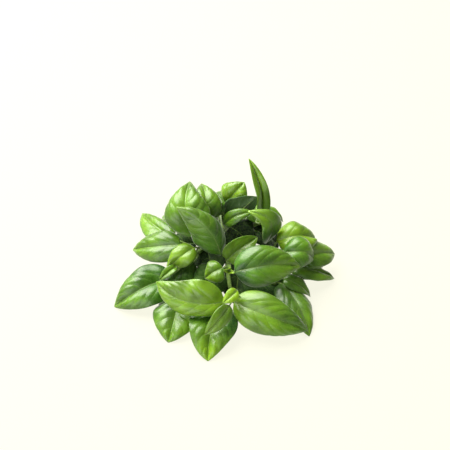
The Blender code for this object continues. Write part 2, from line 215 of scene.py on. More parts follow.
# %% Stems that lie to the right
RIGHT_STEMS = [
    Stem(
        "sprig_front_right",
        [(7, 86, 2.2), (7, 66, 2.2), (8, 40, 4), (14, 10, 9), (28, -8, 13), (46, -12, 15)],
        [
            leaf("right_low_back", 1.0, (52, -12, 15), (76, -62, 0), 34, (0.5, -0.5, 0.7), 7, 8, 40, -1),
            leaf("right_low_far", 1.0, (54, -10, 19), (79, -18, 2), 18, (0.5, -0.2, 0.8), 5, 12, 30),
            leaf("right_inner", 0.75, (16, -11, 17), (68, -12, 4), 34, (0, -0.4, 1), 4, 10, 20),
            leaf("middle_under", 0.50, (14, 21, 4), (9, -30, 6), 36, (0, -0.2, 1), 1, 8, 20),
        ],
    ),
    Stem(
        "sprig_right",
        [(-3.5, 84, 7.6), (-3.5, 64, 7.6), (-1, 40, 12), (2, 14, 20), (4, -4, 28), (4, -14, 36)],
        [
            leaf("right_big", 0.93, (9, -18, 38), (69, -6, 32), 40, (0, -0.75, 0.8), 8, 8, 45, -4),
            leaf("centre_small", 0.93, (-2, -13, 38), (-18, -18, 29), 23, (-0.3, -0.6, 1), 4, 10, 35),
            leaf("centre_cup", 0.85, (2, 3, 30), (30, 17, 46), 25, (0, -0.8, 0.6), 3, 10, -30, -2),
            leaf("left_of_centre_deep", 0.80, (-4, -2, 20), (-27, -20, 9), 34, (0, -0.4, 1), 4, 10, 20),
        ],
    ),
    Stem(
        "sprig_far_right",
        [(14, 88, 2.2), (14, 68, 2.2), (18, 44, 6), (30, 24, 14), (46, 12, 24), (62, 11, 28)],
        [
            leaf("right_upper", 0.85, (53, 5, 38), (80, 9, 22), 32, (0.1, -0.5, 1), 13, 8, 40, -2),
            leaf("right_top", 0.85, (48, 21, 36), (86, 31, 24), 35, (0, -0.3, 1), 12, 8, 40),
            leaf("right_drape", 1.0, (71, 17, 34), (90, 11, 7), 26, (0.8, -0.7, 0.6), 6, 10, 30),
            leaf("far_right", 1.0, (73, 11, 26), (104, 26, 12), 26, (0, -0.5, 1), 5, 15, (45, 25)),
            leaf("far_right_low", 0.93, (61, 6, 15), (103, 5, 0), 26, (0, -0.1, 1), 8, 12, 40),
        ],
    ),
]
print(len(RIGHT_STEMS), "stems with", sum(len(stem.leaves) for stem in RIGHT_STEMS), "leaves")

# %% Stems that stand up behind
BACK_STEMS = [
    Stem(
        "sprig_back_left",
        [(-10.5, 86, 7.6), (-10.5, 66, 7.6), (-11, 44, 14), (-11, 24, 26), (-12, 14, 40)],
        [
            leaf(
                "upper_left_front", 0.90, (-4, 7, 32), (-44, 27, 76), 46,
                (-0.2, -0.8, 0.6), 8, -22, (10, 105), 10,
            ),
            leaf("upper_left_back", 0.90, (-28, 24, 38), (-33, 66, 69), 45, (-0.2, -0.6, 1), 18, 8, 40, -3),
            leaf("upper_left_far", 0.85, (-22, 37, 42), (-22, 70, 62), 31, (0.1, -0.5, 1), 14, 8, 35, 3),
            leaf("back_left_low", 0.55, (-39, 69, 16), (-61, 80, 3), 30, (-0.4, 0.5, 1), 5, 10, 30),
            leaf("back_left_mid", 0.80, (-16, 34, 36), (-40, 74, 44), 36, (-0.3, 0.7, 0.7), 6, 10, 30),
            leaf("back_left_rear", 0.45, (-17, 60, 18), (-30, 89, 1), 32, (0, 0.5, 1), 6, 10, 30),
        ],
    ),
    Stem(
        "sprig_back",
        [(3.5, 84, 7.6), (3.5, 66, 7.6), (2, 54, 18), (-1, 46, 36), (-2, 46, 48)],
        [
            leaf("upper_left_side", 1.0, (-4, 46, 45), (-17, 51, 60), 20, (0, -0.9, 0.4), 3, 10, 20),
            leaf("top_bright", 1.0, (1, 54, 52), (18, 63, 71), 32, (0, -0.6, 0.8), 4, 12, (70, 10)),
            leaf("top_dark", 0.92, (-1, 44, 44), (31, 49, 66), 28, (0.1, 1, 0), 5, 10, 20, -2),
            leaf("arch_strip", 0.92, (-1, 38, 39), (26, 41, 54), 14, (0, -0.6, 0.8), 4, 20, 30, -3),
            leaf("under_arch_left", 0.50, (5, 50, 23), (24, 32, 17), 36, (0, -0.2, 1), 5, 10, 20),
            leaf("back_centre", 0.85, (2, 54, 44), (3, 88, 30), 32, (0, 0.6, 0.8), 7, 10, 30),
        ],
    ),
    Stem(
        "sprig_back_right",
        [(10.5, 86, 7.6), (10.5, 68, 7.6), (19, 58, 14), (32, 52, 26), (37, 42, 38)],
        [
            leaf("arch_over", 0.97, (38, 21, 33), (21, 31, 66), 22, (0.35, -0.7, 0.7), 10, 8, 25, 11),
            leaf("spike", 0.95, (35, 49, 42), (22, 73, 92), 17, (0.3, -1, 0.2), 5, 40, 15, 3),
            leaf("under_arch_right", 0.60, (29, 46, 22), (48, 44, 6), 26, (0.2, -0.1, 1), 4, 10, 20),
            leaf("under_arch_low", 0.50, (30, 64, 14), (51, 40, 4), 32, (0, -0.2, 1), 3, 10, 20),
            leaf("back_right_low", 0.5, (37, 81, 16), (57, 74, 4), 13, (0.5, 0.2, 1), 4, 20, 30),
            leaf("back_right_mid", 0.85, (29, 49, 30), (25, 84, 22), 26, (0.3, 0.5, 0.8), 6, 10, 30),
            leaf("back_right_rear", 0.4, (17, 64, 16), (27, 89, 1), 28, (0.2, 0.5, 1), 6, 10, 30),
        ],
    ),
]
STEMS = LEFT_STEMS + RIGHT_STEMS + BACK_STEMS
LEAVES = [lf for stem in STEMS for lf in stem.leaves]
print(len(STEMS), "stems with", len(LEAVES), "leaves in all")

# %% [markdown]
# ## The surface of one leaf
#
# A basil blade is a sheet that starts narrow at the stalk, is widest before its middle, and closes
# to a point. It could be modelled flat and bent with modifiers, but here each point is worked out
# from two numbers: u runs along the midrib and v across it. That gives the same leaf coarse or
# fine, and it leaves u and v at hand for the veins.

# %% Directions of a leaf
STALK_WIDTH = 2.0
TIP_WIDTH = 0.9
STALK_ROUNDING = 0.42
TIP_ROUNDING = 0.80


def unit(v):
    return v / np.linalg.norm(v, axis=-1, keepdims=True)


def leaf_frame(lf):
    """The foot, the midrib's direction, the side that is the leaf's right, and the way it faces."""
    foot, tip = np.array(lf.foot, float), np.array(lf.tip, float)
    along = unit(tip - foot)
    face = np.array(lf.face, float)
    normal = unit(face - (face @ along) * along)
    return foot, tip - foot, np.cross(along, normal), normal


print("the first leaf faces", leaf_frame(LEAVES[0])[3].round(2))


# %% Outline and midrib
def outline(u):
    """Half of the leaf's width at u, as a share of its greatest half width."""
    widest = STALK_ROUNDING / (STALK_ROUNDING + TIP_ROUNDING)
    most = widest**STALK_ROUNDING * (1 - widest) ** TIP_ROUNDING
    return u**STALK_ROUNDING * (1 - u) ** TIP_ROUNDING / most


def half_width(lf, u):
    least = (STALK_WIDTH * (1 - u) + TIP_WIDTH * u) / 2
    return np.maximum(lf.width / 2 * outline(u), least)


def midrib(lf, u):
    foot, chord, side, normal = leaf_frame(lf)
    u = np.asarray(u, float)[..., None]
    return foot + chord * u + (normal * lf.arch + side * lf.bend) * 4 * u * (1 - u)


print("a leaf is widest", round(STALK_ROUNDING / (STALK_ROUNDING + TIP_ROUNDING), 2), "of the way along")


# %% The blade's middle surface
def blade_surface(lf, us, vs):
    """A grid of points: us run from stalk to tip, and vs from -1 at the left margin to 1 at the right."""
    _, chord, side, normal = leaf_frame(lf)
    u, v = us[:, None], vs[None, :]
    ahead = unit(chord + (normal * lf.arch + side * lf.bend) * 4 * (1 - 2 * us[:, None]))
    side = unit(side - (ahead @ side)[:, None] * ahead)
    up = np.cross(side, ahead)
    half = half_width(lf, u)
    reach = np.abs(v)
    turn = np.where(v > 0, math.radians(lf.curl[1]) or 1e-6, math.radians(lf.curl[0]) or 1e-6)
    out = half * np.sin(turn * reach) / turn
    drop = half * (1 - np.cos(turn * reach)) / turn
    lift = math.radians(lf.fold)
    wave = lf.wave * half * reach**2 * np.sin(2 * math.pi * (2.3 * u + 0.17 * len(lf.name)) + v)
    sideways = np.sign(v) * (out * math.cos(lift) + drop * math.sin(lift))
    upwards = out * math.sin(lift) - drop * math.cos(lift) + wave
    rib = midrib(lf, us)[:, None]
    return rib + side[:, None] * sideways[..., None] + up[:, None] * upwards[..., None]


print("the first leaf's tip is at", blade_surface(LEAVES[0], np.ones(1), np.zeros(1))[0, 0].round(1))


# %% The coarse grid that the solids have
LONG_LEAF = 35.0
COARSE_COLUMNS = 4


def coarse_rows(lf):
    return 8 if math.dist(lf.foot, lf.tip) > LONG_LEAF else 6


def coarse_grid(lf):
    rows = coarse_rows(lf)
    return blade_surface(lf, np.linspace(0, 1, rows + 1), np.linspace(-1, 1, COARSE_COLUMNS + 1))


def grid_triangles(rows, columns):
    found = []
    for i in range(rows):
        for j in range(columns):
            a = i * (columns + 1) + j
            b, c, d = a + 1, a + columns + 1, a + columns + 2
            found += [(a, b, d), (a, d, c)]
    return found


print("the first leaf's coarse grid:", coarse_grid(LEAVES[0]).shape)

# %% [markdown]
# ## Stems and stalks as curves
#
# A stem is a smooth curve through a few measured points, and a stalk is a short bend that leaves it
# and runs into its midrib. They are needed now as bare lines, because leaves have to lie clear of
# them, and again later as solid tubes.

# %% A smooth line through points
STEM_SIDE = 4.4


def spline(route, steps):
    """Points along a smooth curve through the route, evenly spaced from knot to knot."""
    knots = [np.array(p, float) for p in route]
    knots = [2 * knots[0] - knots[1], *knots, 2 * knots[-1] - knots[-2]]
    spans = len(route) - 1
    found = []
    for s in range(steps + 1):
        x = s / steps * spans
        k = min(int(x), spans - 1)
        t = x - k
        a, b, c, d = knots[k : k + 4]
        found.append(
            0.5 * (2 * b + (c - a) * t + (2 * a - 5 * b + 4 * c - d) * t**2 + (3 * b - a - 3 * c + d) * t**3)
        )
    return found


def along_route(route, share):
    """The point at this share of the route's length."""
    points = np.array(spline(route, 80))
    lengths = np.concatenate(([0], np.cumsum(np.linalg.norm(np.diff(points, axis=0), axis=1))))
    return np.array([np.interp(share * lengths[-1], lengths, points[:, k]) for k in range(3)])


print("half way up the first stem:", along_route(STEMS[0].route, 0.5).round(1))


# %% The line of a leaf's stalk
def stalk_line(lf, stem, steps, end=None):
    """From inside the stem to a little way into the blade, arriving in line with the midrib."""
    start = along_route(stem.route, min(lf.at, 0.99))
    end = midrib(lf, 0.07) if end is None else end
    foot = np.array(lf.foot, float)
    before = foot - unit(end - foot) * 0.4 * np.linalg.norm(foot - start)
    ts = [i / steps for i in range(steps + 1)]
    return [(1 - t) ** 2 * start + 2 * t * (1 - t) * before + t * t * end for t in ts]


def lines_of(stem):
    """(points, radius) of the stem and of each of its stalks."""
    lines = [([along_route(stem.route, k / 30) for k in range(31)], STEM_SIDE * 0.6)]
    return lines + [(stalk_line(lf, stem, 8), STALK_WIDTH / 2) for lf in stem.leaves]


print("the first stem has", len(lines_of(STEMS[0])) - 1, "stalks")

# %% [markdown]
# ## Leaves rest on each other
#
# In a real bunch the leaves press each other aside until none passes through another. A physics
# engine could drop them, but they would end up elsewhere than in the photograph. So each leaf
# starts where it was measured and gives way only as much as it must: wherever two blades come
# closer than a set clearance, both are pushed apart a little, and this is repeated until they rest.

# %% Measuring how close two blades are
CLEARANCE = 1.9
REACH = 14.0


def tree_of(grid, triangles):
    return BVHTree.FromPolygons([Vector(p) for p in grid.reshape(-1, 3)], triangles, epsilon=0.0)


def near_points(points, tree, reach):
    """(index, signed height, normal, triangle) of the points that lie over or under the blade."""
    found = []
    for k, p in enumerate(points):
        at, normal, face, distance = tree.find_nearest(Vector(p), reach)
        if at is None:
            continue
        height = (Vector(p) - at).dot(normal)
        if distance < 1e-6 or abs(height) > 0.75 * distance:
            found.append((k, height, np.array(normal), face))
    return found


print("blades keep", CLEARANCE, "mm between their middles")


# %% One leaf against another
def press_apart(first, second, grids, trees, triangles, sides, push):
    """Adds to push what moves two blades apart, and returns how far they were too close."""
    worst = 0.0
    for a, b in ((first, second), (second, first)):
        near = near_points(grids[a].reshape(-1, 3), trees[b], REACH)
        if not near:
            continue
        if (a, b) not in sides:
            sides[a, b] = sum(height for _, height, _, _ in near)
        if abs(sides[a, b]) < abs(sides.get((b, a), 0.0)):
            continue
        sign = 1 if sides[a, b] > 0 else -1
        for k, height, normal, face in near:
            short = CLEARANCE - sign * height
            if short > 0:
                worst = max(worst, short)
                step = sign * normal * min(short, 5.0) * 0.5
                push[a].reshape(-1, 3)[k] += step
                for corner in triangles[b][face]:
                    push[b].reshape(-1, 3)[corner] -= step / 3
    return worst


print("blades are looked for up to", REACH, "mm away")


# %% Leaves against the stems and stalks of other sprigs
STALK_CLEARANCE = 1.1


def press_off_line(line, radius, pair, box, tree, triangles, sides, push):
    """Adds to push what moves one blade off another sprig's stem or stalk."""
    room = radius + STALK_CLEARANCE
    inside = [p for p in line if (p > box[0] - room).all() and (p < box[1] + room).all()]
    near = near_points(inside, tree, room + 4.0)
    if not near:
        return
    if pair not in sides:
        sides[pair] = sum(height for _, height, _, _ in near)
    sign = 1 if sides[pair] > 0 else -1
    for _, height, normal, face in near:
        short = room - sign * height
        if short > 0:
            for corner in triangles[face]:
                push.reshape(-1, 3)[corner] -= sign * normal * min(short, 4.0) * 0.4


print("blades keep", STALK_CLEARANCE, "mm from other sprigs' stems and stalks")


# %% Evening out a push, so that a leaf bends and doesn't dent
def evened(move):
    """The grid's displacements smoothed, with the stalk end held still."""
    for _ in range(2):
        wide = np.pad(move, ((1, 1), (1, 1), (0, 0)), mode="edge")
        around = wide[:-2, 1:-1] + wide[2:, 1:-1] + wide[1:-1, :-2] + wide[1:-1, 2:]
        move = 0.4 * move + 0.15 * around
    move[0] = 0
    move[1] *= 0.4
    move[2] *= 0.8
    return move


one_push = np.zeros((9, 5, 3))
one_push[4, 2] = 1.0
print("a push of 1 mm on one point leaves", evened(one_push)[4, 2, 0].round(2), "mm there")


# %% Letting the whole bunch come to rest
FLOOR_ROOM = 0.55


def come_to_rest(stems, rounds=40):
    """How far each coarse grid point moves until the leaves rest on each other and on the table."""
    start = {lf.name: coarse_grid(lf) for lf in LEAVES}
    names = list(start)
    move = {name: np.zeros_like(grid) for name, grid in start.items()}
    triangles = {lf.name: grid_triangles(coarse_rows(lf), COARSE_COLUMNS) for lf in LEAVES}
    sprig = {lf.name: stem.name for stem in stems for lf in stem.leaves}
    lines = [(stem.name, k, *line) for stem in stems for k, line in enumerate(lines_of(stem))]
    sides = {}
    for turn in range(rounds):
        grids = {n: start[n] + move[n] for n in names}
        trees = {n: tree_of(grids[n], triangles[n]) for n in names}
        low = {n: grids[n].reshape(-1, 3).min(0) - CLEARANCE for n in names}
        high = {n: grids[n].reshape(-1, 3).max(0) + CLEARANCE for n in names}
        push = {n: np.zeros_like(start[n]) for n in names}
        worst = 0.0
        for i, first in enumerate(names):
            for second in names[i + 1 :]:
                if not ((low[first] > high[second]).any() or (low[second] > high[first]).any()):
                    worst = max(worst, press_apart(first, second, grids, trees, triangles, sides, push))
        for owner, k, line, radius in lines:
            for n in names:
                if sprig[n] != owner:
                    box = (low[n], high[n])
                    press_off_line(line, radius, (owner, k, n), box, trees[n], triangles[n], sides, push[n])
        for n in names:
            move[n] = move[n] + evened(push[n])
            move[n][..., 2] -= np.minimum(start[n][..., 2] + move[n][..., 2] - FLOOR_ROOM, 0)
        if worst < 0.2:
            break
    print("at rest after", turn + 1, "rounds, closest pair short by", round(worst, 2), "mm")
    return move


moves = come_to_rest(STEMS)

# %% [markdown]
# ## From the coarse grid to a fine blade
#
# Each blade is now drawn with points about a millimetre apart. The coarse displacements are read
# through a smooth curve, so a leaf that was pushed aside bends in one sweep, with no facets.

# %% Reading a coarse grid smoothly
def curve_weights(count, places):
    """Weights that read a smooth curve through count evenly spaced values at the given places."""
    weights = np.zeros((len(places), count + 2))
    for row, x in zip(weights, places):
        k = min(int(x), count - 2)
        t = x - k
        row[k : k + 4] = (
            (-t + 2 * t**2 - t**3) / 2,
            (2 - 5 * t**2 + 3 * t**3) / 2,
            (t + 4 * t**2 - 3 * t**3) / 2,
            (t**3 - t**2) / 2,
        )
    inner = weights[:, 1:-1].copy()
    inner[:, 0] += 2 * weights[:, 0]
    inner[:, 1] -= weights[:, 0]
    inner[:, -1] += 2 * weights[:, -1]
    inner[:, -2] -= weights[:, -1]
    return inner


def rested_surface(lf, us, vs):
    """The blade's middle surface after the bunch has come to rest."""
    rows = coarse_rows(lf)
    down = curve_weights(rows + 1, us * rows)
    over = curve_weights(COARSE_COLUMNS + 1, (vs + 1) / 2 * COARSE_COLUMNS)
    return blade_surface(lf, us, vs) + np.einsum("ai,bj,ijk->abk", down, over, moves[lf.name])


print("weights add up to", curve_weights(9, [0.3, 7.9]).sum(axis=1).round(6))

# %% [markdown]
# ## Veins and puffed tissue
#
# Basil is easy to know by its side veins: five or six pairs leave the midrib at about 50 degrees
# and sweep towards the tip, each lies in a furrow, and the tissue between them puffs up. This could
# be bump only, but the puffs are nearly a millimetre high and catch the light from every side, so
# they are modelled. One number, the vein count, rises by 1 from each side vein to the next.

# %% Counting side veins
VEIN_SPACING = 12.0
SWEEP = (0.30, 0.22)
SWEEP_LOSS = 0.30


def vein_count(lf, u, v):
    """A number that is whole on each side vein, for grids u and v."""
    pairs = max(3.6, math.dist(lf.foot, lf.tip) / VEIN_SPACING)
    reach = np.abs(v)
    start = (u - SWEEP[0] * reach - SWEEP[1] * reach**2) / (1 - SWEEP_LOSS * reach)
    return pairs * np.maximum(start, -0.02) + 0.40 + 0.16 * np.tanh(v / 0.15)


print("side veins on the first leaf:", round(math.dist(LEAVES[0].foot, LEAVES[0].tip) / VEIN_SPACING, 1))

# %% Puffs, furrows and the pillow of each half
PUFF = 0.8
PILLOW = 1.5
FURROW = 0.3


def eased(x, low, high):
    t = np.clip((x - low) / (high - low), 0, 1)
    return t * t * (3 - 2 * t)


def relief(lf, u, v):
    """How far the tissue stands above the plain surface, in millimetres."""
    scale = min(1.0, lf.width / 40)
    reach = np.abs(v)
    half = half_width(lf, u)
    ends = eased(u, 0.02, 0.14) * (1 - eased(u, 0.84, 0.99))
    puff = np.abs(np.sin(math.pi * vein_count(lf, u, v))) ** 0.8
    puff = puff * eased(reach, 0.05, 0.40) * (1 - 0.5 * eased(reach, 0.65, 1.0))
    pillow = np.sin(math.pi * reach**0.85) ** 1.25
    furrow = np.exp(-((reach * half / 1.0) ** 2))
    return ends * (scale**1.6 * PUFF * (puff - 0.4) + scale * PILLOW * pillow - FURROW * furrow)


print("a broad leaf puffs up by", PUFF, "mm between its veins")


# %% The two faces of a blade
POINT_GAP = 1.15
THICKNESS, MARGIN_THINNING = 0.5, 0.2
TABLE_GAP = 0.05


def blade_faces(lf):
    """(upper face, under face, us, vs): a blade that is thickest at its midrib."""
    length = math.dist(lf.foot, lf.tip)
    us = np.linspace(0, 1, max(24, int(length / POINT_GAP)) + 1)
    spread = np.linspace(-1, 1, 2 * max(8, int(lf.width / 2.5)) + 1)
    vs = np.sign(spread) * np.abs(spread) ** 1.15
    plain = rested_surface(lf, us, vs)
    normals = unit(np.cross(np.gradient(plain, axis=1), np.gradient(plain, axis=0)))
    raised = plain + normals * relief(lf, us[:, None], vs[None, :])[..., None]
    normals = unit(np.cross(np.gradient(raised, axis=1), np.gradient(raised, axis=0)))
    thick = (THICKNESS - MARGIN_THINNING * np.abs(vs))[None, :, None]
    upper = raised + normals * thick / 2
    under = raised - normals * thick / 2
    for face in (upper, under):
        face[..., 2] = np.maximum(face[..., 2], TABLE_GAP)
    return upper, under, us, vs


print("the first leaf has", blade_faces(LEAVES[0])[0].shape[:2], "points on each face")

# %% [markdown]
# ## Joining faces into one closed sheet
#
# Both faces and the thin rim between them become one mesh. Five values are stored on its points for
# the material: where the point is in millimetres of leaf, how far it is from the midrib to the
# margin, its vein count, whether it is on the upper side, and how young the tissue is, where values
# below zero are painted shade. The rim is left unsmoothed, so it doesn't shade the faces.


# %% Faces of a closed sheet
def sheet_faces(rows, columns):
    """(quads of both faces, quads of the rim) for two grids of rows by columns points."""
    corner = np.arange(rows * columns).reshape(rows, columns)
    quads = np.stack((corner[:-1, :-1], corner[:-1, 1:], corner[1:, 1:], corner[1:, :-1]), -1).reshape(-1, 4)
    other = quads[:, ::-1] + rows * columns
    loop = np.concatenate((corner[0, :-1], corner[:-1, -1], corner[-1, :0:-1], corner[:0:-1, 0]))
    after = np.roll(loop, -1)
    below = rows * columns
    rim = np.stack((after, loop, loop + below, after + below), -1)
    return np.concatenate((quads, other)), rim


print("a 3 by 3 sheet has", [len(part) for part in sheet_faces(3, 3)], "faces and rim faces")


# %% A tube round a line
def tube_shape(line, rings):
    """(points, side faces, end caps) of a closed tube with one flat ring for each point of the line."""
    up = np.array((0, 0, 1.0))
    points = []
    for i, p in enumerate(line):
        ahead = unit(line[min(i + 1, len(line) - 1)] - line[max(i - 1, 0)])
        up = unit(up - (up @ ahead) * ahead)
        side = np.cross(ahead, up)
        points.append(p + rings[i][:, :1] * side + rings[i][:, 1:] * up)
    count = len(rings[0])
    faces = []
    for i in range(len(line) - 1):
        for k in range(count):
            a, b = i * count + k, i * count + (k + 1) % count
            faces.append((a, b, b + count, a + count))
    last = (len(line) - 1) * count
    caps = [tuple(range(count))[::-1], tuple(range(last, last + count))]
    return np.concatenate(points), faces, caps


def round_ring(width, sides=10):
    turns = 2 * math.pi * np.arange(sides) / sides
    return np.stack((width / 2 * np.cos(turns), width / 2 * np.sin(turns)), -1)


print("a stalk has", len(round_ring(STALK_WIDTH)), "sides")


# %% The stalk, which runs on as a rib under the blade
def stalk_and_rib(lf, stem, under, us):
    """The stalk's tube, narrowing along the underside of the midrib to nothing near the tip."""
    middle = under.shape[1] // 2
    steps = [k for k, u in enumerate(us) if 0.07 <= u <= 0.86]
    rib = [under[k, middle] for k in steps]
    line = stalk_line(lf, stem, 12, end=rib[0])[:-1] + rib
    scale = 0.6 + 0.4 * min(1, lf.width / 40)
    widths = [STALK_WIDTH * scale] * 12 + [
        STALK_WIDTH * scale * (0.62 * (1 - (k / len(rib))) ** 0.8 + 0.08) for k in range(len(rib))
    ]
    widths[8:12] = [w * (1 - 0.08 * (i + 1)) for i, w in enumerate(widths[8:12])]
    floor = [max(p[2], w / 2) for p, w in zip(line, widths)]
    line = [np.array((p[0], p[1], z)) for p, z in zip(line, floor)]
    return tube_shape(line, [round_ring(w) for w in widths])


print("stalks are", STALK_WIDTH, "mm thick")

# %% [markdown]
# ## One helper for all shader nodes
#
# A material is a small graph. One function adds any node, sets its properties, and fills its inputs
# with values or with other nodes' outputs, so each line of a material reads as one step.


# %% Adding a node
def add(tree, kind, inputs=None, **settings):
    """A new node. inputs maps a socket, by name or number, to a value or to another node's output."""
    made = tree.nodes.new(kind)
    for name, value in settings.items():
        setattr(made, name, value)
    for socket, value in (inputs or {}).items():
        if isinstance(value, bpy.types.NodeSocket):
            tree.links.new(value, made.inputs[socket])
        else:
            made.inputs[socket].default_value = value
    return made


def empty_material(name):
    material = bpy.data.materials.new(name)
    material.use_nodes = True
    material.node_tree.nodes.clear()
    return material, material.node_tree


print("helper ready")

# %% [markdown]
# ## Fresh basil blade
#
# A living leaf has a thin waxy skin over wet green tissue. The wax gives a soft, wide gloss, not a
# mirror, so it is a clear coat that isn't very smooth. The dark leaves inside the bunch get none, which
# keeps the hollow between the leaves dark. Light also passes a little way into the tissue. The upper
# side is deep green, the underside paler and dull, and veins are pale because they hold little
# chlorophyll. The near-black green of the leaves deep inside the bunch, and of the stalk ends of some
# others, is painted shade. Side veins are 0.3 mm wide on the plant. Here they are drawn about three
# times as wide, because thinner ones wouldn't show in the picture.

# %% Numbers for the leaf skin, and the values stored on it
LEAF_IOR = 1.50
GLOSS = (0.34, 0.46)
UNDERSIDE_ROUGHNESS = 0.62
OLD_ROUGHNESS = 0.75
WAX = 0.55
VEIN_SHARE, UNDER_VEIN_SHARE, NET_SHARE = 0.34, 0.5, 0.16
# The first of these greens is no leaf colour: it is painted shade, a near-black green for the leaves deep in
# the bunch and for shaded stalk ends.
PAINTED_SHADE_GREEN, DEEP_GREEN, MID_GREEN, YOUNG_GREEN = "#041A02", "#1A4606", "#46740C", "#86AC14"
UNDERSIDE_GREEN, VEIN_GREEN, UNDER_VEIN_GREEN = "#456430", "#759441", "#6E8B50"
blade_material, blade_tree = empty_material("fresh_basil_blade")
place = add(blade_tree, "ShaderNodeAttribute", attribute_name="leaf_mm").outputs["Vector"]
count = add(blade_tree, "ShaderNodeAttribute", attribute_name="vein_count").outputs["Fac"]
upper_side = add(blade_tree, "ShaderNodeAttribute", attribute_name="upper_side").outputs["Fac"]
youth = add(blade_tree, "ShaderNodeAttribute", attribute_name="youth").outputs["Fac"]
across = add(blade_tree, "ShaderNodeAttribute", attribute_name="across").outputs["Fac"]
print("leaf greens", DEEP_GREEN, MID_GREEN, YOUNG_GREEN)

# %% Lines of the midrib and the side veins
apart = add(blade_tree, "ShaderNodeMath", {0: across}, operation="ABSOLUTE").outputs[0]
out_mm = add(blade_tree, "ShaderNodeSeparateXYZ", {0: place}).outputs["Y"]
out_mm = add(blade_tree, "ShaderNodeMath", {0: out_mm}, operation="ABSOLUTE").outputs[0]
rib_line = add(
    blade_tree,
    "ShaderNodeMapRange",
    {0: out_mm, 1: 0.25, 2: 0.95, 3: 1.0, 4: 0.0},
    interpolation_type="SMOOTHSTEP",
).outputs[0]
beside_vein = add(blade_tree, "ShaderNodeMath", {0: count, 1: 0.5}, operation="PINGPONG").outputs[0]
side_line = add(
    blade_tree,
    "ShaderNodeMapRange",
    {0: beside_vein, 1: 0.010, 2: 0.050, 3: 1.0, 4: 0.0},
    interpolation_type="SMOOTHSTEP",
).outputs[0]
vein_fade = add(blade_tree, "ShaderNodeMapRange", {0: apart, 1: 0.45, 2: 0.95, 3: 0.8, 4: 0.1}).outputs[0]
side_line = add(blade_tree, "ShaderNodeMath", {0: side_line, 1: vein_fade}, operation="MULTIPLY").outputs[0]
vein_line = add(blade_tree, "ShaderNodeMath", {0: rib_line, 1: side_line}, operation="MAXIMUM").outputs[0]
print("veins are drawn from", len(blade_tree.nodes), "nodes")

# %% Patches of green, and the fine net between the veins
# The real net has cells of 1 to 2 mm, and the skin's own cells are under 0.1 mm. Both are drawn
# coarser, so that they show.
PATCH_MM, NET_MM, GRAIN_MM = 20.0, 2.6, 0.8
patches = add(
    blade_tree, "ShaderNodeTexNoise", {"Vector": place, "Scale": 1 / PATCH_MM, "Detail": 3.0}
).outputs[0]
patches = add(blade_tree, "ShaderNodeMapRange", {0: patches, 1: 0.36, 2: 0.64}).outputs[0]
net = add(
    blade_tree, "ShaderNodeTexVoronoi", {"Vector": place, "Scale": 1 / NET_MM}, feature="DISTANCE_TO_EDGE"
).outputs["Distance"]
net_line = add(blade_tree, "ShaderNodeMapRange", {0: net, 1: 0.0, 2: 0.12, 3: 1.0, 4: 0.0}).outputs[0]
grain = add(
    blade_tree, "ShaderNodeTexNoise", {"Vector": place, "Scale": 1 / GRAIN_MM, "Detail": 2.0}
).outputs[0]
print("patches of", PATCH_MM, "mm, a net of", NET_MM, "mm and a grain of", GRAIN_MM, "mm")

# %% Painted shade at the margins, and darker patches
# The margins, which roll away from the light, are painted darker: this is painted shade. It holds the patches
# and the young green back towards the deep green there.
margin = add(blade_tree, "ShaderNodeMapRange", {0: apart, 1: 0.55, 2: 0.95, 3: 1.0, 4: 0.50}).outputs[0]
patches = add(blade_tree, "ShaderNodeMath", {0: patches, 1: margin}, operation="MULTIPLY").outputs[0]
patch_share = add(blade_tree, "ShaderNodeMapRange", {0: patches, 3: 0.65, 4: 1.20}).outputs[0]
fresh = add(blade_tree, "ShaderNodeMath", {0: youth, 1: patch_share}, operation="MULTIPLY").outputs[0]
print("the young green is weakest at the margins")

# %% Colour of the upper side
# Below zero the youth value is painted shade: it pulls the colour towards the near-black shade green.
painted_shade = add(blade_tree, "ShaderNodeMapRange", {0: youth, 1: -1.0, 2: 0.0, 3: 1.0, 4: 0.0}).outputs[0]
net_share = add(blade_tree, "ShaderNodeMath", {0: net_line, 1: NET_SHARE}, operation="MULTIPLY").outputs[0]
line_share = add(blade_tree, "ShaderNodeMath", {0: vein_line, 1: VEIN_SHARE}, operation="MULTIPLY").outputs[0]
upper_colour = linear(DEEP_GREEN)
for share, over in (
    (patches, MID_GREEN),
    (fresh, YOUNG_GREEN),
    (painted_shade, PAINTED_SHADE_GREEN),
    (net_share, VEIN_GREEN),
    (line_share, VEIN_GREEN),
):
    upper_colour = add(
        blade_tree, "ShaderNodeMix", {0: share, 6: upper_colour, 7: linear(over)}, data_type="RGBA"
    ).outputs[2]
print("upper side", MID_GREEN, "with veins", VEIN_GREEN)

# %% Colour of the underside, and both together
under_share = add(
    blade_tree, "ShaderNodeMath", {0: vein_line, 1: UNDER_VEIN_SHARE}, operation="MULTIPLY"
).outputs[0]
under_colour = linear(UNDERSIDE_GREEN)
# The underside takes the same painted shade where the youth value is below zero.
for share, over in ((youth, YOUNG_GREEN), (painted_shade, PAINTED_SHADE_GREEN), (under_share, UNDER_VEIN_GREEN)):
    under_colour = add(
        blade_tree, "ShaderNodeMix", {0: share, 6: under_colour, 7: linear(over)}, data_type="RGBA"
    ).outputs[2]
leaf_colour = add(
    blade_tree, "ShaderNodeMix", {0: upper_side, 6: under_colour, 7: upper_colour}, data_type="RGBA"
).outputs[2]
print("underside", UNDERSIDE_GREEN)

